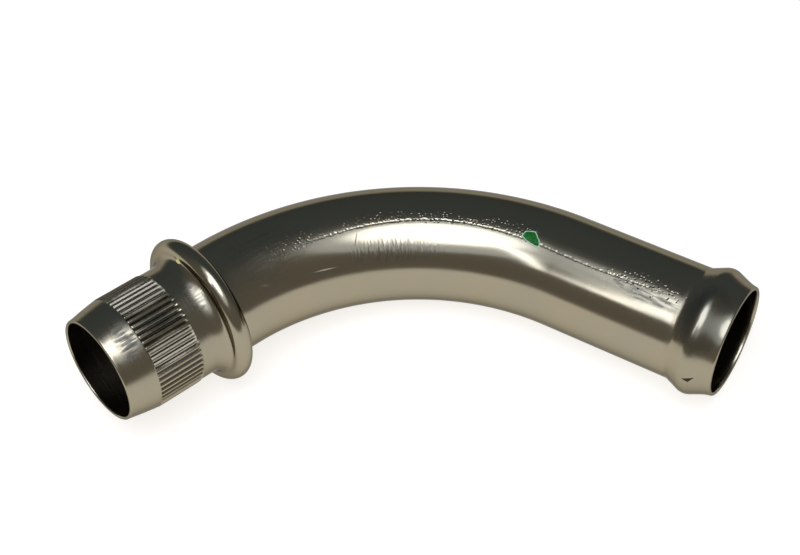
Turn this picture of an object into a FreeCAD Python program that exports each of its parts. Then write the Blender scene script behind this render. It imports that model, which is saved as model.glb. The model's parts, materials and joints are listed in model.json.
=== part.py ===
# Press-in steering pipe: one length of plated steel tube, bent once, with both ends formed.
# The spigot end has a tapered nose, a straight knurl and an upset collar that stops it in its
# housing. The hose end is a straight stub with a rolled bead that keeps the hose on.
# The pipe is drawn with the spigot along X and the bend in the XY plane, then laid down as it
# rests on a flat surface: on the collar, on the bead and on the belly of the bend.
import FreeCAD, Part
import math
import os
import re

import Sketcher
from FreeCAD import Vector

NODE = "formed_pipe"
doc = FreeCAD.newDocument("steering_pipe")

# Driving dimensions, in millimetres and degrees; each rise or drop is from the tube's own surface
SIZES = {
    "tube_diameter": 18.0,
    "wall_thickness": 0.8,
    "bend_radius": 44.0,
    "bend_angle": 74.0,
    "nose_length": 5.0,
    "nose_drop": 0.6,
    "knurl_length": 7.8,
    "knurl_rise": 0.25,
    "knurl_teeth": 60,
    "knurl_depth": 0.3,
    "knurl_groove_width": 0.5,
    "neck_length": 4.4,
    "neck_rise": 0.1,
    "collar_thickness": 3.0,
    "collar_rise": 3.0,
    "collar_rim_bevel": 0.9,
    "collar_flare": 0.9,
    "collar_to_bend": 3.6,
    "stub_length": 28.2,
    "bead_rise": 1.1,
    "bead_to_mouth": 4.1,
    "bead_land": 1.2,
    "bead_back_length": 2.6,
    "mouth_drop": 0.25,
    "lip_bevel": 0.25,
}
sheet = doc.addObject("Spreadsheet::Sheet", "Sizes")
for row, (alias, value) in enumerate(SIZES.items(), start=1):
    sheet.set(f"A{row}", alias)
    sheet.set(f"B{row}", str(value))
    sheet.setAlias(f"B{row}", alias)
doc.recompute()


def from_sheet(expression):
    """The expression with each size it names read from the sheet."""
    return re.sub(r"[a-z]+(?:_[a-z]+)+", r"Sizes.\g<0>", expression)


def size(expression):
    """Present value of an expression of sheet sizes."""
    return float(sheet.evalExpression(from_sheet(expression)))


# Distances along the spigot from its mouth, and the radii of the end forms
KNURL_END = "nose_length + knurl_length"
COLLAR_FRONT = KNURL_END + " + neck_length"
COLLAR_BACK = COLLAR_FRONT + " + collar_thickness"
SPIGOT_LENGTH = COLLAR_BACK + " + collar_to_bend"
TUBE_RADIUS = "tube_diameter / 2"
NOSE_RADIUS = TUBE_RADIUS + " - nose_drop"
KNURL_RADIUS = TUBE_RADIUS + " + knurl_rise"
NECK_RADIUS = TUBE_RADIUS + " + neck_rise"
COLLAR_RADIUS = TUBE_RADIUS + " + collar_rise"
BEAD_RADIUS = TUBE_RADIUS + " + bead_rise"
MOUTH_RADIUS = TUBE_RADIUS + " - mouth_drop"
BEAD_MIDDLE = "stub_length - bead_to_mouth"

pipe = doc.addObject("PartDesign::Body", NODE)
pipe.Label = NODE
origin = {feature.Role: feature for feature in pipe.Origin.OriginFeatures}


def sketch_on(plane, name, place, turn="0"):
    """Sketch on an origin plane of the pipe, moved in that plane's frame and turned about its normal."""
    sketch = pipe.newObject("Sketcher::SketchObject", name)
    sketch.AttachmentSupport = [(origin[plane], "")]
    sketch.MapMode = "FlatFace"
    base = "; ".join(f"({from_sheet(term)}) * 1 mm" for term in place)
    rotation = f"create(<<rotation>>; create(<<vector>>; 0; 0; 1); {from_sheet(turn)})"
    sketch.setExpression("AttachmentOffset", f"create(<<placement>>; create(<<vector>>; {base}); {rotation})")
    return sketch


def bind(sketch, name, expression, *constraint):
    """Add a dimension that follows the sheet."""
    index = sketch.addConstraint(Sketcher.Constraint(*constraint, size(expression)))
    sketch.renameConstraint(index, name)
    sketch.setExpression(f"Constraints.{name}", from_sheet(expression))


def outline(sketch, corners):
    """Closed outline with straight sides through corners of (x, y), each an expression of sizes."""
    points = [Vector(size(x), size(y), 0) for x, y in corners]
    for start, end in zip(points, points[1:] + points[:1]):
        sketch.addGeometry(Part.LineSegment(start, end))
    for i, (x, y) in enumerate(corners):
        sketch.addConstraint(Sketcher.Constraint("Coincident", (i - 1) % len(corners), 2, i, 1))
        bind(sketch, f"corner_x_{i}", x, "DistanceX", -1, 1, i, 1)
        bind(sketch, f"corner_y_{i}", y, "DistanceY", -1, 1, i, 1)


def revolve(name, sketch, axis, angle):
    """Turn a sketch about one of its axes; the angle follows the sheet."""
    feature = pipe.newObject("PartDesign::Revolution", name)
    feature.Profile = sketch
    feature.ReferenceAxis = (sketch, [axis])
    feature.setExpression("Angle", from_sheet(angle))
    return feature


# Spigot: nose, knurl band and neck, turned about X, with its mouth at the sketch's origin
SPIGOT_MOUTH = (f"-({SPIGOT_LENGTH})", "0", "0")
spigot = sketch_on("XY_Plane", "spigot_outline", SPIGOT_MOUTH)
outline(spigot, [
    ("0", "0"),
    (SPIGOT_LENGTH, "0"),
    (SPIGOT_LENGTH, TUBE_RADIUS),
    (COLLAR_BACK, TUBE_RADIUS),
    (COLLAR_FRONT, NECK_RADIUS),
    (KNURL_END, NECK_RADIUS),
    (KNURL_END, KNURL_RADIUS),
    ("nose_length", KNURL_RADIUS),
    ("0", NOSE_RADIUS),
])
revolve("spigot", spigot, "H_Axis", "360")

# Bend: the tube's round section turned about the bend axis, from the spigot to the stub
section = sketch_on("YZ_Plane", "tube_section", ("0", "0", "0"))
ring = section.addGeometry(Part.Circle(Vector(0, 0, 0), Vector(0, 0, 1), size(TUBE_RADIUS)))
section.addConstraint(Sketcher.Constraint("Coincident", ring, 3, -1, 1))
bind(section, "tube_radius", TUBE_RADIUS, "Radius", ring)
axis_foot = Vector(-size("bend_radius"), 0, 0)
bend_axis = section.addGeometry(Part.LineSegment(axis_foot, axis_foot + Vector(0, size(TUBE_RADIUS), 0)), True)
section.addConstraint(Sketcher.Constraint("Vertical", bend_axis))
section.addConstraint(Sketcher.Constraint("PointOnObject", bend_axis, 1, -1))
bind(section, "bend_radius", "-bend_radius", "DistanceX", -1, 1, bend_axis, 1)
bind(section, "axis_length", TUBE_RADIUS, "DistanceY", bend_axis, 1, bend_axis, 2)
bend = revolve("bend", section, "Axis0", "bend_angle")
bend.Reversed = True

# Hose stub: straight tube, rolled bead and tapered mouth, turned about its own axis at the bend's end
BEND_END = ("bend_radius * sin(bend_angle)", "-bend_radius * (1 - cos(bend_angle))", "0")
stub = sketch_on("XY_Plane", "stub_outline", BEND_END, "-bend_angle")
outline(stub, [
    ("0", "0"),
    ("stub_length", "0"),
    ("stub_length", MOUTH_RADIUS),
    (f"{BEAD_MIDDLE} + bead_land / 2", BEAD_RADIUS),
    (f"{BEAD_MIDDLE} - bead_land / 2", BEAD_RADIUS),
    (f"{BEAD_MIDDLE} - bead_land / 2 - bead_back_length", TUBE_RADIUS),
    ("0", TUBE_RADIUS),
])
revolve("hose_stub", stub, "H_Axis", "360")
doc.recompute()

# Bore: the wall keeps its thickness all the way, and the two mouths are open
MATCH = 0.001
spigot_mouth = Vector(*(size(term) for term in SPIGOT_MOUTH))
bend_end = Vector(*(size(term) for term in BEND_END))
spigot_axis = Vector(1, 0, 0)
stub_axis = Vector(size("cos(bend_angle)"), -size("sin(bend_angle)"), 0)
stub_mouth = bend_end + stub_axis * size("stub_length")
blank = pipe.Tip
bore = pipe.newObject("PartDesign::Thickness", "bore")
bore.Base = (blank, [
    f"Face{number}"
    for number, face in enumerate(blank.Shape.Faces, start=1)
    if any(face.CenterOfMass.isEqual(mouth, MATCH) for mouth in (spigot_mouth, stub_mouth))
])
bore.Mode = "Skin"
bore.Join = "Intersection"
bore.Reversed = True
bore.setExpression("Value", from_sheet("wall_thickness"))

# Collar: a solid ring, upset from the wall that it starts inside, with its rim bevelled on both sides
collar = sketch_on("XY_Plane", "collar_outline", SPIGOT_MOUTH)
outline(collar, [
    (COLLAR_FRONT, f"{NECK_RADIUS} - wall_thickness / 2"),
    (COLLAR_BACK, f"{TUBE_RADIUS} - wall_thickness / 2"),
    (COLLAR_BACK, f"{COLLAR_RADIUS} - collar_rim_bevel"),
    (f"{COLLAR_BACK} - collar_rim_bevel", COLLAR_RADIUS),
    (f"{COLLAR_FRONT} + collar_rim_bevel", COLLAR_RADIUS),
    (COLLAR_FRONT, f"{COLLAR_RADIUS} - collar_rim_bevel"),
])
revolve("collar", collar, "H_Axis", "360")
doc.recompute()


def bevel(name, width, rings):
    """Bevel the round edges that have one of the given (centre, radius) pairs."""
    base = pipe.Tip
    edges = [
        f"Edge{number}"
        for number, edge in enumerate(base.Shape.Edges, start=1)
        for centre, radius in rings
        if edge.Curve.TypeId == "Part::GeomCircle"
        and edge.Curve.Center.isEqual(centre, MATCH)
        and abs(edge.Curve.Radius - size(radius)) < MATCH
    ]
    feature = pipe.newObject("PartDesign::Chamfer", name)
    feature.Base = (base, edges)
    feature.setExpression("Size", from_sheet(width))
    doc.recompute()


# Flare and lips: the neck widens into the collar, and each mouth loses its sharp outer edge
collar_front = spigot_mouth + spigot_axis * size(COLLAR_FRONT)
bevel("flare", "collar_flare", [(collar_front, NECK_RADIUS)])
bevel("lips", "lip_bevel", [(spigot_mouth, NOSE_RADIUS), (stub_mouth, MOUTH_RADIUS)])

# Knurl: one straight V groove, from the nose to the end of its band, repeated around the spigot
groove = sketch_on("YZ_Plane", "groove_outline", ("0", "0", f"nose_length - ({SPIGOT_LENGTH})"))
GROOVE_ROOT = KNURL_RADIUS + " - knurl_depth"
GROOVE_TOP = KNURL_RADIUS + " + knurl_depth"
outline(groove, [
    ("0", GROOVE_ROOT),
    ("knurl_groove_width", GROOVE_TOP),
    ("-knurl_groove_width", GROOVE_TOP),
])
groove_cut = pipe.newObject("PartDesign::Pocket", "groove")
groove_cut.Profile = groove
groove_cut.Reversed = True
groove_cut.setExpression("Length", from_sheet("knurl_length"))
doc.recompute()
knurl = pipe.newObject("PartDesign::PolarPattern", "knurl")
knurl.Originals = [groove_cut]
knurl.Axis = (origin["X_Axis"], [""])
knurl.Angle = 360
knurl.setExpression("Occurrences", from_sheet("knurl_teeth"))
pipe.Tip = knurl
doc.recompute()

# Rest: the pipe lies on the collar's rim, the bead's crest and the belly of the bend
collar_middle = collar_front + spigot_axis * size("collar_thickness / 2")
bead_middle = bend_end + stub_axis * size(BEAD_MIDDLE)
bend_middle = Vector(0, -size("bend_radius"), 0)
RESTS_ON = [
    (collar_middle, spigot_axis, size(COLLAR_RADIUS), size("collar_thickness / 2 - collar_rim_bevel"), 0),
    (bead_middle, stub_axis, size(BEAD_RADIUS), size("bead_land / 2"), 0),
    (bend_middle, Vector(0, 0, 1), size("bend_radius"), 0, size(TUBE_RADIUS)),
]


def lowest_point(up, centre, axis, radius, half_land, tube_radius):
    """Where a ring, with a flat land or made of tube, reaches lowest along the way up."""
    slant = axis.dot(up)
    rim = (axis * slant - up).normalize() * radius - axis * math.copysign(half_land, slant)
    return centre + rim - up * tube_radius


# The surface's way up starts a little off the bend's axis, away from the belly, and is laid
# against the three lowest points until it settles
FIRST_LEAN = 0.1
SETTLING_STEPS = 12
up = Vector(-size("sin(bend_angle / 2)"), -size("cos(bend_angle / 2)"), 1 / FIRST_LEAN).normalize()
for step in range(SETTLING_STEPS):
    collar_foot, bead_foot, belly_foot = (lowest_point(up, *ring) for ring in RESTS_ON)
    up = (bead_foot - collar_foot).cross(belly_foot - collar_foot).normalize()
side = up.cross(spigot_axis)
pipe.Placement = FreeCAD.Placement(Vector(), FreeCAD.Rotation(side.cross(up), side, up, "ZYX").inverted())
box = pipe.Shape.optimalBoundingBox(False, False)
pipe.Placement.Base = -Vector(box.Center.x, box.Center.y, box.ZMin)
doc.recompute()

for item in doc.Objects:
    if "Invalid" in item.State or "Error" in item.State:
        raise RuntimeError(f"{item.Name} did not build: {item.State}")
if pipe.Shape.isNull() or not pipe.Shape.isValid() or len(pipe.Shape.Solids) != 1:
    raise RuntimeError("the pipe is not one valid solid")
if knurl.Shape.Volume >= groove_cut.Shape.Volume:
    raise RuntimeError("the knurl's grooves cut nothing")

os.makedirs("parts", exist_ok=True)
pipe.Shape.exportStep(f"parts/{NODE}.step")
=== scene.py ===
import json
import math

import bmesh
import bpy
from mathutils import Matrix, Vector


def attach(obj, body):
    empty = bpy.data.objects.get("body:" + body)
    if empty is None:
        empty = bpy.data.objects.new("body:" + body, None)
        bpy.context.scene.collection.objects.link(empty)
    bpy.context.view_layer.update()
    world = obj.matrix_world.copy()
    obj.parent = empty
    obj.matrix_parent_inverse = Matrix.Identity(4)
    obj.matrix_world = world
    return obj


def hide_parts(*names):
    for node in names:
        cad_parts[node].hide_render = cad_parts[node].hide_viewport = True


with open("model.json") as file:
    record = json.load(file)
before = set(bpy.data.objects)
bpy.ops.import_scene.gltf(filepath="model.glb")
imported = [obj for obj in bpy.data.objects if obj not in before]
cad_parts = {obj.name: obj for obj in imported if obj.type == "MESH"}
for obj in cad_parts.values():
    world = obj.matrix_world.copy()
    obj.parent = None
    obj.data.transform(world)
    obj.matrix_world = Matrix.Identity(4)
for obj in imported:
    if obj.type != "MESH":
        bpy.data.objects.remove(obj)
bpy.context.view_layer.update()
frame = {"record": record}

# Steel pipe: one length of seam-welded steel tube. Its spigot end is swaged to a nose, knurled and
# upset into a stop collar, its hose end is rolled out to a bead, and it is then bent once round a die.
# Lengths here are in millimetres, from the spigot's mouth along the tube before it is bent.
TUBE_RADIUS, NECK_RADIUS, BORE_RADIUS = 9.0, 9.1, 8.2
BEND_START, BEND_RADIUS, BEND_ANGLE = 23.8, 44.0, math.radians(74)
BEND_END = BEND_START + BEND_RADIUS * BEND_ANGLE
STUB_LENGTH = 28.2
KNURL_CREST, KNURL_ROOT = 9.25, 8.98
COLLAR_FLARE, FLARE_STRETCH, COLLAR_RIM = 1.3, 1.8, 1.5
METRES_PER_MM = 0.001


def arc(centre, radius, first, last, steps, stretch=1.0):
    """Corners of (distance, radius) round an arc of the half section, between angles in degrees."""
    angles = [math.radians(first + (last - first) * step / steps) for step in range(steps + 1)]
    return [
        (centre[0] + stretch * radius * math.cos(angle), centre[1] + radius * math.sin(angle))
        for angle in angles
    ]


def plain_tube(start, stop, radius, steps):
    """Corners along a plain length of tube, close enough together for it to bend smoothly."""
    return [(start + (stop - start) * step / steps, radius) for step in range(steps + 1)]


def at_stub(corners):
    """Corners measured from the bend's end, moved to their place along the straight tube."""
    return [(BEND_END + distance, radius) for distance, radius in corners]


nose = arc((0.27, 8.16), 0.27, 180, 100, 6)
nose += [(0.5, 8.46), (1.1, 8.57), (2.0, 8.74), (3.0, 8.91), (4.0, 9.07)]
nose += [(4.6, 9.155), (4.85, 9.185), (4.93, 9.19)]
# Distance, crest and root of the knurl's ridges: square to the nose, run out to round ends at the neck
knurl = [(4.97, 9.19, KNURL_ROOT), (5.06, 9.23, KNURL_ROOT), (5.2, 9.245, KNURL_ROOT)]
knurl += [(distance, KNURL_CREST, KNURL_ROOT) for distance in (7.5, 10.0, 12.0)]
knurl += [(12.2, 9.245, 8.995), (12.4, 9.23, 9.02), (12.55, 9.2, 9.05), (12.66, 9.16, 9.075)]
knurl += [(12.74, 9.12, 9.09), (12.8, NECK_RADIUS, 9.095)]
collar = [(distance, NECK_RADIUS) for distance in (13.0, 13.8, 14.5)]
collar += arc((14.86, 10.4), COLLAR_FLARE, 270, 360, 14, FLARE_STRETCH)
collar += arc((18.7, 10.5), COLLAR_RIM, 180, 0, 18) + arc((21.0, 9.8), 0.8, 180, 270, 7)
bend = [(22.4, TUBE_RADIUS)] + plain_tube(BEND_START, BEND_END, TUBE_RADIUS, 64)
bead = [(distance, TUBE_RADIUS) for distance in (7.0, 13.5, 19.0, 20.6)]
bead += [(20.85, 9.01), (21.0, 9.035), (21.13, 9.075), (21.28, 9.14), (22.1, 9.495)]
bead += arc((24.0, 7.7), 2.4, 114, 66, 12)
bead += [(25.6, 9.615), (26.2, 9.36), (26.7, 9.16), (27.1, 9.02), (27.45, 8.92), (27.75, 8.86)]
hose_lip = arc((27.94, 8.57), 0.26, 75, 0, 6)
hose_bore = arc((27.96, 8.44), 0.24, 0, -80, 5)
hose_bore += [(27.4, 8.13), (26.5, 8.5), (25.0, 9.1), (24.1, 9.3), (23.2, 9.1), (21.9, 8.6)]
hose_bore += [(20.5, BORE_RADIUS), (10.0, BORE_RADIUS)]
bend_bore = plain_tube(BEND_END, BEND_START, BORE_RADIUS, 32)
spigot_bore = [(17.0, 8.3), (13.4, 8.4), (6.3, 8.4), (1.6, 8.0)] + arc((0.25, 8.13), 0.25, 290, 200, 5)
knurl_crests = [(distance, crest) for distance, crest, root in knurl]
outside = nose + knurl_crests + collar + bend + at_stub(bead + hose_lip)
half_section = outside + at_stub(hose_bore) + bend_bore + spigot_bore

# The section is spun into a straight tube, one step to a degree. The bore turns dull behind its mouths.
KNURL_TEETH, POINTS_PER_TOOTH = 60, 6
BRIGHT_MOUTH, DULLING_LENGTH = 1.0, 9.0
MERGE_DISTANCE = 0.0005
pipe_mesh = bmesh.new()
straight_tube = pipe_mesh.verts.layers.float_vector.new("straight_tube")
inside = pipe_mesh.verts.layers.float.new("inside")
corners = []
for number, (distance, radius) in enumerate(half_section):
    corners.append(pipe_mesh.verts.new((distance, radius, 0)))
    if number >= len(outside):
        depth = min(distance, BEND_END + STUB_LENGTH - distance)
        corners[-1][inside] = min(max(depth - BRIGHT_MOUTH, 0) / DULLING_LENGTH, 1)
section_edges = [
    pipe_mesh.edges.new((corner, corners[number - 1])) for number, corner in enumerate(corners)
]
bmesh.ops.spin(
    pipe_mesh, geom=corners + section_edges, cent=(0, 0, 0), axis=(1, 0, 0), angle=math.tau,
    steps=KNURL_TEETH * POINTS_PER_TOOTH, use_merge=True,
)
bmesh.ops.remove_doubles(pipe_mesh, verts=pipe_mesh.verts, dist=MERGE_DISTANCE)
bmesh.ops.recalc_face_normals(pipe_mesh, faces=pipe_mesh.faces)
for face in pipe_mesh.faces:
    face.smooth = True

# The knurl's teeth: roots and feet are pressed in, and the crests keep a low crown between sharp edges.
# Points at one distance along the tube make a ring, and six neighbours on a ring make a tooth.
FIRST_ROOT = 1
FOOT_SHIFT, CREST_CROWN = math.radians(0.4), 0.15
SAME_RING = 0.01
RING_DIGITS = 3
rings = {}
for vert in pipe_mesh.verts:
    rings.setdefault(round(vert.co.x, RING_DIGITS), []).append(vert)
for distance, crest, root in knurl:
    ridges = {"root": [], "left foot": [], "right foot": [], "edge": [], "top": []}
    for vert in rings[round(distance, RING_DIGITS)]:
        degree = round(math.degrees(math.atan2(vert.co.z, vert.co.y)))
        step = (degree - FIRST_ROOT) % POINTS_PER_TOOTH
        ridges[("root", "left foot", "edge", "top", "edge", "right foot")[step]].append(vert)
    for foot, shift in (("left foot", -FOOT_SHIFT), ("right foot", FOOT_SHIFT)):
        turn = Matrix.Rotation(shift, 3, "X")
        bmesh.ops.rotate(pipe_mesh, verts=ridges[foot], cent=(0, 0, 0), matrix=turn)
    low = ridges["root"] + ridges["left foot"] + ridges["right foot"]
    for verts, radius in ((low, root), (ridges["edge"], crest - CREST_CROWN * (crest - root))):
        bmesh.ops.scale(pipe_mesh, verts=verts, vec=(1, radius / crest, radius / crest))
    for vert in ridges["left foot"] + ridges["right foot"] + ridges["edge"]:
        for edge in vert.link_edges:
            edge.smooth = abs(edge.verts[0].co.x - edge.verts[1].co.x) < SAME_RING
for vert in pipe_mesh.verts:
    vert[straight_tube] = vert.co

# The straight tube is bent, ring by ring, and the stub beyond the bend swings round as one
to_bend_axis = Matrix.Translation((BEND_START, -BEND_RADIUS, 0))
hose_end = []
for distance, verts in rings.items():
    if distance >= round(BEND_END, RING_DIGITS):
        hose_end += verts
    elif distance > BEND_START:
        swing = to_bend_axis @ Matrix.Rotation(-(distance - BEND_START) / BEND_RADIUS, 4, "Z")
        swing = swing @ Matrix.Translation((-distance, BEND_RADIUS, 0))
        bmesh.ops.transform(pipe_mesh, verts=verts, matrix=swing)
swing = to_bend_axis @ Matrix.Rotation(-BEND_ANGLE, 4, "Z")
swing = swing @ Matrix.Translation((-BEND_END, BEND_RADIUS, 0))
bmesh.ops.transform(pipe_mesh, verts=hose_end, matrix=swing)

# The pipe is laid down where the record's mounts say
mounts = {mount["name"]: mount for mount in frame["record"]["mounts"]}
along = -Vector(mounts["spigot"]["axis"])
above = Vector(mounts["hose_bead"]["axis"]).cross(along).normalized()
laid_down = Matrix((along, above.cross(along), above)).transposed().to_4x4()
laid_down = laid_down @ Matrix.Scale(METRES_PER_MM, 4)
laid_down.translation = mounts["spigot"]["pos_m"]
bmesh.ops.transform(pipe_mesh, verts=pipe_mesh.verts, matrix=laid_down)
pipe_data = bpy.data.meshes.new("steel_pipe")
pipe_mesh.to_mesh(pipe_data)
pipe_mesh.free()
steel_pipe = bpy.data.objects.new("steel_pipe", pipe_data)
bpy.context.scene.collection.objects.link(steel_pipe)


def srgb(code):
    """A hex colour as linear red, green, blue and alpha."""
    parts = [int(code[i:i + 2], 16) / 255 for i in (1, 3, 5)]
    return (*(c / 12.92 if c <= 0.04045 else ((c + 0.055) / 1.055) ** 2.4 for c in parts), 1)


def add(tree, kind, inputs=None, **settings):
    """A node with its settings, and each input given a value or linked to a socket."""
    node = tree.nodes.new(kind)
    for name, value in settings.items():
        setattr(node, name, value)
    for socket, value in (inputs or {}).items():
        if isinstance(value, bpy.types.NodeSocket):
            tree.links.new(value, node.inputs[socket])
        else:
            node.inputs[socket].default_value = value
    return node


# Bright zinc plating over welded steel tube: a warm grey mirror, a little cloudy, with the faint drawn
# grain of the tube, its weld line with pits along it, the rubs that the bending die left and dull
# worked ends. The specular tint dims what the plating mirrors at a glancing angle.
plated_steel = bpy.data.materials.new("bright_zinc_plated_steel")
plated_steel.use_nodes = True
tree = plated_steel.node_tree
shader = tree.nodes["Principled BSDF"]
shader.inputs["Specular Tint"].default_value = srgb("#A2A2A2")

# The tube's surface rolled out flat, in millimetres: along it, and round it from its top line
place = add(tree, "ShaderNodeAttribute", attribute_name="straight_tube").outputs["Vector"]
axes = add(tree, "ShaderNodeSeparateXYZ", {"Vector": place})
lean = add(tree, "ShaderNodeMath", {
    0: axes.outputs["Y"], 1: axes.outputs["Z"],
}, operation="ARCTAN2").outputs[0]
around = add(tree, "ShaderNodeMath", {0: lean, 1: -TUBE_RADIUS}, operation="MULTIPLY").outputs[0]
along_tube = axes.outputs["X"]
rolled_out = add(tree, "ShaderNodeCombineXYZ", {"X": along_tube, "Y": around}).outputs["Vector"]

# Clouds 9 mm across, drawn grain 0.5 mm wide and 25 mm long, turning marks 0.3 mm apart round the worked
# ends, die rubs 0.6 mm apart across the bend, smears 0.5 mm wide and 3 mm long, and 0.6 mm unevenness for
# the edges of marks. Real grain and turning marks are finer, and are drawn this coarse so that they show.
patterns = {}
for pattern, spacing, detail in (
    ("clouds", (9, 9, 9), 3), ("grain", (25, 0.5, 1), 2), ("turning", (0.3, 9, 1), 2),
    ("rubbing", (0.6, 3.5, 1), 2), ("uneven", (0.6, 0.6, 1), 1), ("smear", (3.0, 0.5, 1), 3),
):
    spread_out = add(tree, "ShaderNodeMapping", {
        "Vector": place if pattern == "clouds" else rolled_out, "Scale": [1 / size for size in spacing],
    }).outputs[0]
    patterns[pattern] = add(tree, "ShaderNodeTexNoise", {
        "Vector": spread_out, "Scale": 1.0, "Detail": detail,
    }).outputs["Fac"]


def stacked(base, layers):
    """A base value with each layer added to it, times its own amount."""
    for layer, amount in layers:
        base = add(tree, "ShaderNodeMath", {
            0: layer, 1: amount, 2: base,
        }, operation="MULTIPLY_ADD").outputs[0]
    return base


def mark(middle, half_size, tilt=0.0, soft=0.3, ragged=0.0):
    """A spot on the rolled-out surface, 1 inside and 0 outside, its edge soft and ragged as given."""
    spot = add(tree, "ShaderNodeMapping", {
        "Vector": rolled_out, "Location": (*middle, 0), "Rotation": (0, 0, math.radians(tilt)),
        "Scale": (*half_size, 1),
    }, vector_type="TEXTURE").outputs[0]
    reach = add(tree, "ShaderNodeVectorMath", {0: spot}, operation="LENGTH").outputs["Value"]
    edge = 1 + ragged / 2
    return add(tree, "ShaderNodeMapRange", {
        "Value": stacked(reach, [(patterns["uneven"], ragged)]),
        "From Min": edge, "From Max": edge - soft,
    }, interpolation_type="SMOOTHSTEP").outputs[0]


def straight_sided(middle, sides, rounding, ragged):
    """How far, in millimetres, a point of the rolled-out surface lies outside a straight-sided shape."""
    from_middle = add(tree, "ShaderNodeVectorMath", {
        0: rolled_out, 1: (*middle, 0),
    }, operation="SUBTRACT").outputs[0]
    beyond = None
    for side, reach in sides:
        past_side = add(tree, "ShaderNodeVectorMath", {
            0: from_middle, 1: (*side, 0),
        }, operation="DOT_PRODUCT").outputs["Value"]
        past_side = add(tree, "ShaderNodeMath", {
            0: past_side, 1: reach + ragged / 2,
        }, operation="SUBTRACT").outputs[0]
        if beyond:
            past_side = add(tree, "ShaderNodeMath", {
                0: beyond, 1: past_side, 2: rounding,
            }, operation="SMOOTH_MAX").outputs[0]
        beyond = past_side
    return stacked(beyond, [(patterns["uneven"], ragged)])


# The weld line: a groove 0.4 mm wide and 0.03 mm deep that wanders 0.55 mm to either side along the tube
WELD_LINE, WELD_SWAY, WELD_WAVE, WELD_SHIFT = 4.1, 0.55, 52, -2.4
wander = stacked(WELD_SHIFT, [(along_tube, math.tau / WELD_WAVE)])
wander = add(tree, "ShaderNodeMath", {0: wander}, operation="SINE").outputs[0]
weld_path = stacked(WELD_LINE, [(wander, WELD_SWAY)])
from_weld = add(tree, "ShaderNodeMath", {0: around, 1: weld_path}, operation="SUBTRACT").outputs[0]
beside_weld = add(tree, "ShaderNodeMath", {0: from_weld}, operation="ABSOLUTE").outputs[0]
weld_groove = add(tree, "ShaderNodeMapRange", {
    "Value": stacked(beside_weld, [(patterns["uneven"], 0.6)]), "From Min": 0.54, "From Max": 0.3,
    "To Max": mark((66, WELD_LINE), (34, 4), soft=0.3),
}, interpolation_type="SMOOTHSTEP").outputs[0]

# Pits 0.3 mm across, thick in patches along the weld line
PIT_SPACING_ALONG, PIT_SPACING_ROUND = 0.5, 0.42
pitted = stacked(0.0, [(mark(middle, half_size, soft=0.8), amount) for middle, half_size, amount in (
    ((56, 3.3), (17, 1.0), 1.8), ((54, 2.4), (13, 1.5), 1.0), ((71, 2.9), (7, 1.5), 1.6),
    ((95.5, 4.1), (8, 2.1), 1.7), ((34, 3.8), (8, 2.6), 0.5),
)])
pit_place = add(tree, "ShaderNodeMapping", {
    "Vector": rolled_out, "Scale": (1 / PIT_SPACING_ALONG, 1 / PIT_SPACING_ROUND, 1),
}).outputs[0]
pit_cells = add(tree, "ShaderNodeTexVoronoi", {"Vector": pit_place, "Scale": 1.0})
chance = add(tree, "ShaderNodeSeparateColor", {"Color": pit_cells.outputs["Color"]})
chosen = add(tree, "ShaderNodeMapRange", {
    "Value": chance.outputs["Red"], "From Min": 0.2, "From Max": 0.6, "To Max": pitted,
}).outputs[0]
pits = add(tree, "ShaderNodeMapRange", {
    "Value": pit_cells.outputs["Distance"], "From Min": 0.45, "From Max": 0.08, "To Max": chosen,
}, interpolation_type="SMOOTHSTEP").outputs[0]

# Two pits in three are sunk and the third is a raised spatter
height = add(tree, "ShaderNodeMapRange", {
    "Value": chance.outputs["Green"], "From Min": 0.64, "From Max": 0.66, "To Min": -1.0, "To Max": 0.8,
}).outputs[0]
pit_relief = add(tree, "ShaderNodeMath", {0: pits, 1: height}, operation="MULTIPLY").outputs[0]

# Hazy smears from handling: by the collar, on the nose, by the bead and on the neck, and then on the
# outside of the bend, the back of the stub and the underside
haze = stacked(0.0, [
    (mark(middle, half_size, soft=0.7, ragged=0.5), amount) for middle, half_size, amount in (
        ((29, 4.2), (10, 6), 0.6), ((3.4, 5.0), (2.2, 4.6), 2.6), ((95, 5.5), (9, 1.5), 1.6),
        ((15.6, 4.5), (1.6, 4.5), 1.0), ((40, -14.5), (17, 4.5), 0.7), ((88, -15), (12, 5), 0.55),
        ((63, 23), (15, 3), 0.6),
    )
])
smears = add(tree, "ShaderNodeMapRange", {
    "Value": patterns["smear"], "From Min": 0.38, "From Max": 0.66, "To Max": haze,
}).outputs[0]

# Die rubs across the inside of the bend, and dull turning marks on the two worked ends
ALL_ROUND = 1000
rubbed = mark((52, 8.2), (10.5, 2.8), soft=0.7, ragged=0.4)
rubs = add(tree, "ShaderNodeMapRange", {
    "Value": patterns["rubbing"], "From Min": 0.4, "From Max": 0.65, "To Max": rubbed,
}).outputs[0]
spigot_end = mark((5.6, 0), (11.7, ALL_ROUND), soft=0.1)
bead_end = mark((104.9, 0), (4.3, ALL_ROUND), soft=0.1)
worked = stacked(0.0, [(spigot_end, 1.0), (bead_end, 1.0)])
turned = add(tree, "ShaderNodeMapRange", {
    "Value": patterns["turning"], "From Min": 0.3, "From Max": 0.7, "To Max": worked,
}).outputs[0]

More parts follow.
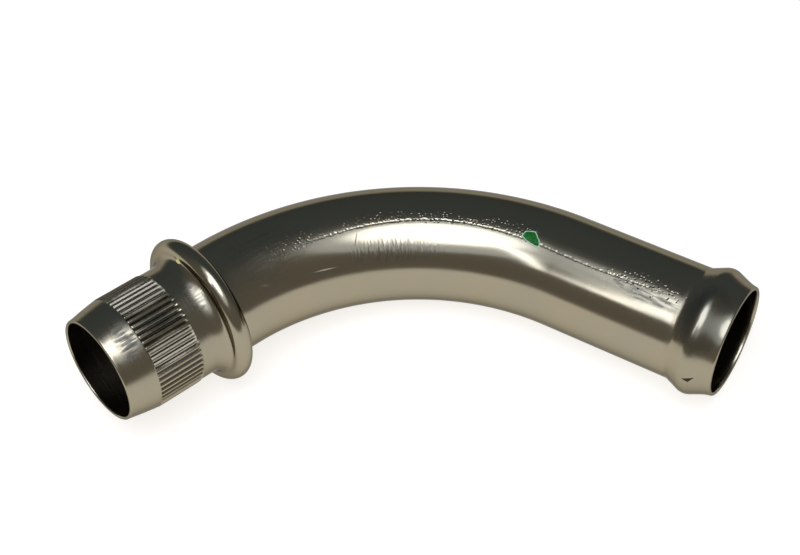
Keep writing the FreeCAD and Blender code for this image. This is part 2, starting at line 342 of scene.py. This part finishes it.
# The knurl below its crests: groove floors painted dark as shade, flanks rubbed matt and painted bright as
# a highlight in two bands round the knurl. Painted shade darkens the knurl between these bands, and the
# bead.
off_axis = add(tree, "ShaderNodeVectorMath", {0: place, 1: (0, 1, 1)}, operation="MULTIPLY").outputs[0]
off_axis = add(tree, "ShaderNodeVectorMath", {0: off_axis}, operation="LENGTH").outputs["Value"]
knurled = mark((8.87, 0), (3.85, ALL_ROUND), soft=0.02)
# Painted shade: the floors of the knurl's grooves are darkened
groove_painted_shade = add(tree, "ShaderNodeMapRange", {
    "Value": off_axis, "From Min": KNURL_ROOT + 0.07, "From Max": KNURL_ROOT + 0.02, "To Max": knurled,
}).outputs[0]
# Painted highlight: flank colour is lightened in an upper and a lower band round the knurl; the roughness
# added there is a real matt rub
upper_rub_and_highlight = mark((8.9, -0.4), (6, 3.1), soft=0.4, ragged=0.2)
lower_rub_and_highlight = mark((8.9, 8.9), (6, 2.4), soft=0.4, ragged=0.2)
rubbed_flanks_and_painted_highlight = add(tree, "ShaderNodeMapRange", {
    "Value": off_axis, "From Min": KNURL_CREST - 0.015, "From Max": KNURL_CREST - 0.05,
    "To Max": stacked(0.0, [(upper_rub_and_highlight, knurled), (lower_rub_and_highlight, knurled)]),
}).outputs[0]
# Painted shade: the knurl is darkened between its two bright bands, and the bead's front more faintly
knurl_painted_shade = mark((8.9, 4.7), (4.6, 2.4), soft=0.8, ragged=0.4)
bead_painted_shade = mark((105.6, 5.6), (4.2, 6.2), soft=0.4, ragged=0.3)
painted_shade_patches = stacked(knurl_painted_shade, [(bead_painted_shade, 0.6)])

# Single marks: a bright scratch and a fainter one, a hairline across the bend, a dark fleck at the hose
# end and a painted glint, a pale yellow spot, at the collar
bright_scratch = mark((38.4, 9.4), (3.1, 0.16), tilt=3, soft=0.9)
faint_scratch = mark((26.6, 8.2), (1.3, 0.25), tilt=20, soft=1.0, ragged=0.6)
scratches = stacked(bright_scratch, [(faint_scratch, 0.3)])
hairline = mark((45.1, 5.9), (0.1, 1.5), tilt=23, soft=0.7)
fleck_edge = straight_sided((105.66, 15.09), (
    ((-0.247, -0.969), 0.34), ((0.804, 0.595), 0.25), ((-0.524, 0.851), 0.27),
), rounding=0.1, ragged=0.05)
fleck = add(tree, "ShaderNodeMapRange", {
    "Value": fleck_edge, "From Min": 0.08, "From Max": 0.02,
}).outputs[0]
# Painted glint: a small pale yellow spot on the collar's fillet
painted_glint = mark((17.12, -1.55), (0.13, 0.6), soft=0.35)

# Inspection mark: a dab of green paint pulled out to a corner, pale at its thin rim
dab_edge = straight_sided((75.59, 3.84), (
    ((-0.928, -0.374), 1.6), ((-0.22, -0.975), 1.2), ((0.706, -0.708), 0.98), ((0.964, -0.265), 1.46),
    ((-0.149, 0.989), 0.84), ((-0.449, 0.893), 0.87),
), rounding=0.4, ragged=0.2)
paint = add(tree, "ShaderNodeMapRange", {
    "Value": dab_edge, "From Min": 0.08, "From Max": 0.02,
}).outputs[0]
paint_body = add(tree, "ShaderNodeMapRange", {
    "Value": dab_edge, "From Min": -0.06, "From Max": -0.14,
}).outputs[0]

# Colours: plating that drifts between warm and green grey, darker where it is marked, dull inside the
# bore, with painted shade in the knurl's grooves, on its middle band and the bead, a painted highlight on
# its flanks and a painted glint
colour = add(tree, "ShaderNodeMix", {
    "Factor": patterns["clouds"], "A": srgb("#A0947C"), "B": srgb("#959180"),
}, data_type="RGBA").outputs["Result"]
paint_green = add(tree, "ShaderNodeMix", {
    "Factor": patterns["uneven"], "A": srgb("#031F07"), "B": srgb("#218A2D"),
}, data_type="RGBA").outputs["Result"]
paint_colour = add(tree, "ShaderNodeMix", {
    "Factor": paint_body, "A": srgb("#B9D8B6"), "B": paint_green,
}, data_type="RGBA").outputs["Result"]
bore_face = add(tree, "ShaderNodeAttribute", attribute_name="inside").outputs["Fac"]
for factor, tint in (
    (smears, srgb("#6D695D")), (pits, srgb("#5C574D")), (rubs, srgb("#7A7467")),
    (scratches, srgb("#E8E2CC")), (hairline, srgb("#1E1C18")), (fleck, srgb("#2C2600")),
    # Painted light: the glint at the collar, the flanks' highlight, the grooves' shade and, below, the
    # shade patches
    (painted_glint, srgb("#F6E79A")), (rubbed_flanks_and_painted_highlight, srgb("#DED6C2")), (groove_painted_shade, srgb("#4B463C")),
    (painted_shade_patches, srgb("#66655A")), (bore_face, srgb("#6F695D")), (paint, paint_colour),
):
    colour = add(tree, "ShaderNodeMix", {
        "Factor": factor, "A": colour, "B": tint,
    }, data_type="RGBA").outputs["Result"]
tree.links.new(colour, shader.inputs["Base Color"])

# Metal everywhere but on the paint, the fleck and the painted glint at the collar
metal = stacked(1.0, [(fleck, -1.0), (paint, -1.0), (painted_glint, -1.0)])
tree.links.new(metal, shader.inputs["Metallic"])

# Roughness from the bright plating's 0.16 up to the dull smears, the knurl and the bore
roughness = stacked(0.11, [
    (patterns["clouds"], 0.06), (patterns["grain"], 0.04), (smears, 0.2), (pits, 0.06), (rubs, 0.14),
    (worked, 0.02), (turned, 0.06), (rubbed_flanks_and_painted_highlight, 0.4), (scratches, 0.35), (bore_face, 0.3), (paint, 0.15),
    (fleck, 0.4),
])
tree.links.new(roughness, shader.inputs["Roughness"])

# Relief in millimetres: the weld groove and pits, the die rubs, the grain, clouds and turning marks of the
# plating, the smears, the paint's thickness and the chip that the fleck lies in
relief = stacked(0.0, [
    (weld_groove, -0.03), (pit_relief, 0.055), (rubs, 0.02), (patterns["grain"], 0.0012),
    (patterns["clouds"], 0.02), (turned, 0.001), (smears, 0.0015), (paint, 0.05), (fleck, -0.03),
])
bump = add(tree, "ShaderNodeBump", {"Height": relief, "Strength": 1.0, "Distance": METRES_PER_MM})
tree.links.new(bump.outputs["Normal"], shader.inputs["Normal"])
steel_pipe.data.materials.append(plated_steel)
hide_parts("formed_pipe")
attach(steel_pipe, "root")

# Studio: a board under the pipe in a dim room. One soft light hangs over it, with a wider dim one behind
# it and a narrow strip at its side. The board is white to the eye and in the pipe's reflections, and
# fades to grey away from the pipe. Lengths here are in metres.
BOARD_HALF_WIDTH, BOARD_GAP = 1.5, 0.00002
FADE_START, FADE_END = 0.13, 0.34
NEAR_WHITENESS, FAR_WHITENESS = 0.79, 0.3
floor_mesh = bmesh.new()
bmesh.ops.create_grid(floor_mesh, x_segments=1, y_segments=1, size=BOARD_HALF_WIDTH)
bmesh.ops.translate(floor_mesh, verts=floor_mesh.verts, vec=(0, 0, -BOARD_GAP))
floor_data = bpy.data.meshes.new("studio_floor")
floor_mesh.to_mesh(floor_data)
floor_mesh.free()
floor = bpy.data.objects.new("studio_floor", floor_data)
bpy.context.scene.collection.objects.link(floor)

# Pale grey matt board
pale_board = bpy.data.materials.new("pale_board")
pale_board.use_nodes = True
board_tree = pale_board.node_tree
board = board_tree.nodes["Principled BSDF"]
board.inputs["Base Color"].default_value = srgb("#ADABA6")
board.inputs["Roughness"].default_value = 0.9
board.inputs["Specular IOR Level"].default_value = 0.1
board.inputs["Emission Color"].default_value = srgb("#FFFCF8")
path = add(board_tree, "ShaderNodeLightPath")
seen = path.outputs["Is Camera Ray"]
for ray in ("Is Glossy Ray", "Is Transmission Ray"):
    seen = add(board_tree, "ShaderNodeMath", {
        0: seen, 1: path.outputs[ray],
    }, operation="MAXIMUM").outputs[0]
from_pipe = add(board_tree, "ShaderNodeTexCoord").outputs["Object"]
from_pipe = add(board_tree, "ShaderNodeVectorMath", {0: from_pipe}, operation="LENGTH").outputs["Value"]
glow = add(board_tree, "ShaderNodeMapRange", {
    "Value": from_pipe, "From Min": FADE_START, "From Max": FADE_END,
    "To Min": NEAR_WHITENESS, "To Max": FAR_WHITENESS,
}, interpolation_type="SMOOTHSTEP").outputs[0]
whiteness = add(board_tree, "ShaderNodeMath", {0: seen, 1: glow}, operation="MULTIPLY").outputs[0]
board_tree.links.new(whiteness, board.inputs["Emission Strength"])
floor.data.materials.append(pale_board)

for name, shape, size, power, location, turn, hue in (
    ("softbox", "ELLIPSE", (0.27, 0.33), 0.91, (-0.105, -0.095, 0.4), -41.8, "#E9F0FF"),
    ("glow_panel", "ELLIPSE", (0.505, 0.64), 0.766, (-0.175, -0.167, 0.41), -41.8, "#DCE8FF"),
    ("side_strip", "RECTANGLE", (0.30, 0.052), 0.26, (-0.359, 0.005, 0.4), -5.5, "#E9F0FF"),
):
    lamp = bpy.data.lights.new(name, "AREA")
    lamp.shape = shape
    lamp.size, lamp.size_y = size
    lamp.energy = power
    lamp.color = srgb(hue)[:3]
    lamp_stand = bpy.data.objects.new(name, lamp)
    lamp_stand.location = location
    lamp_stand.rotation_euler = (0, 0, math.radians(turn))
    bpy.context.scene.collection.objects.link(lamp_stand)

# The room's walls: cool grey beyond the pipe, warmer and paler on the camera's side
TOWARDS_CAMERA = (-0.64, -0.77, 0)
room = bpy.data.worlds.new("dim_room")
room.use_nodes = True
bpy.context.scene.world = room
walls = room.node_tree
direction = add(walls, "ShaderNodeTexCoord").outputs["Generated"]
nearness = add(walls, "ShaderNodeVectorMath", {
    0: direction, 1: TOWARDS_CAMERA,
}, operation="DOT_PRODUCT").outputs["Value"]
spread = add(walls, "ShaderNodeMapRange", {
    "Value": nearness, "From Min": -0.4, "From Max": 0.4,
}).outputs[0]
wall_colour = add(walls, "ShaderNodeMix", {
    "Factor": spread, "A": srgb("#575F65"), "B": srgb("#84807A"),
}, data_type="RGBA").outputs["Result"]
walls.links.new(wall_colour, walls.nodes["Background"].inputs["Color"])

camera = bpy.data.cameras.new("camera")
camera.lens = 67.5
camera_stand = bpy.data.objects.new("camera", camera)
camera_stand.location = (-0.087015, -0.103967, 0.192767)
camera_stand.rotation_euler = [math.radians(angle) for angle in (38.599, 2.173, -41.766)]
bpy.context.scene.collection.objects.link(camera_stand)
bpy.context.scene.camera = camera_stand
bpy.context.scene.view_settings.view_transform = "Standard"
